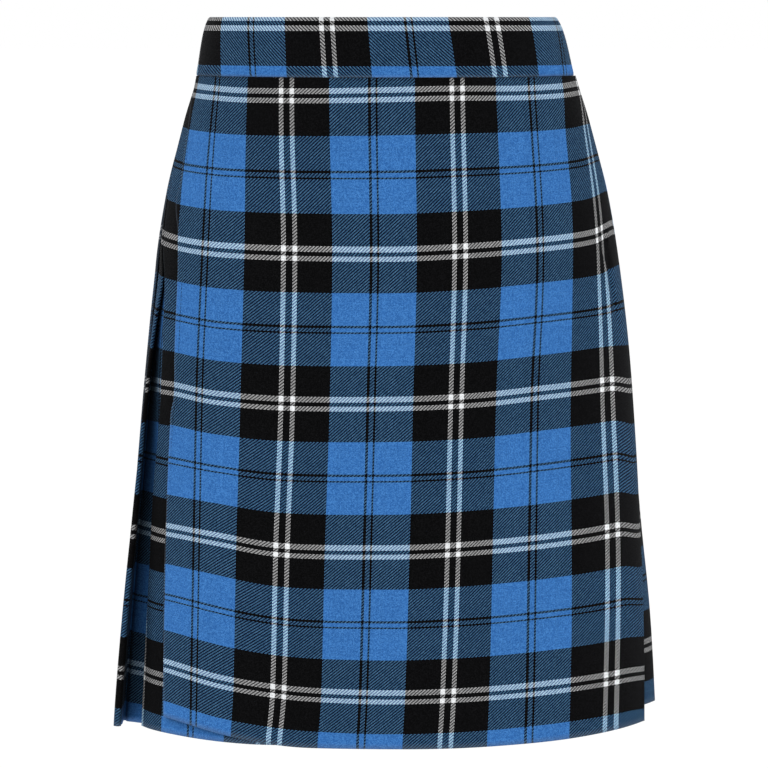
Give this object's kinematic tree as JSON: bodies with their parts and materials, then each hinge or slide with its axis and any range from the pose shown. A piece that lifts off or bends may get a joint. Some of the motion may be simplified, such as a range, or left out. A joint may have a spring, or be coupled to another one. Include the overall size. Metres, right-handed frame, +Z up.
{
  "type": "scottish kilt",
  "caption": "Knee-length tartan kilt, worn and hollow: waistband, overlapping smooth front aprons and a knife pleated back stitched down to the hip.",
  "frame": {"origin": "middle of the waistband's hollow, halfway up the band, where the wearer's waist holds it", "axes": "+Z up; the front aprons face -Y and the pleated back +Y; +X is the wearer's left"},
  "size_m": [0.4724, 0.3216, 0.6108],
  "materials": {
    "tartan_cloth": "woven twill in black, bright blue and white"
  },
  "bodies": {
    "root": {"waistband": "tartan_cloth", "over_apron": "tartan_cloth", "under_apron": "tartan_cloth", "left_pleats": "tartan_cloth", "back_pleats": "tartan_cloth", "right_pleats": "tartan_cloth"}
  },
  "joints": []
}
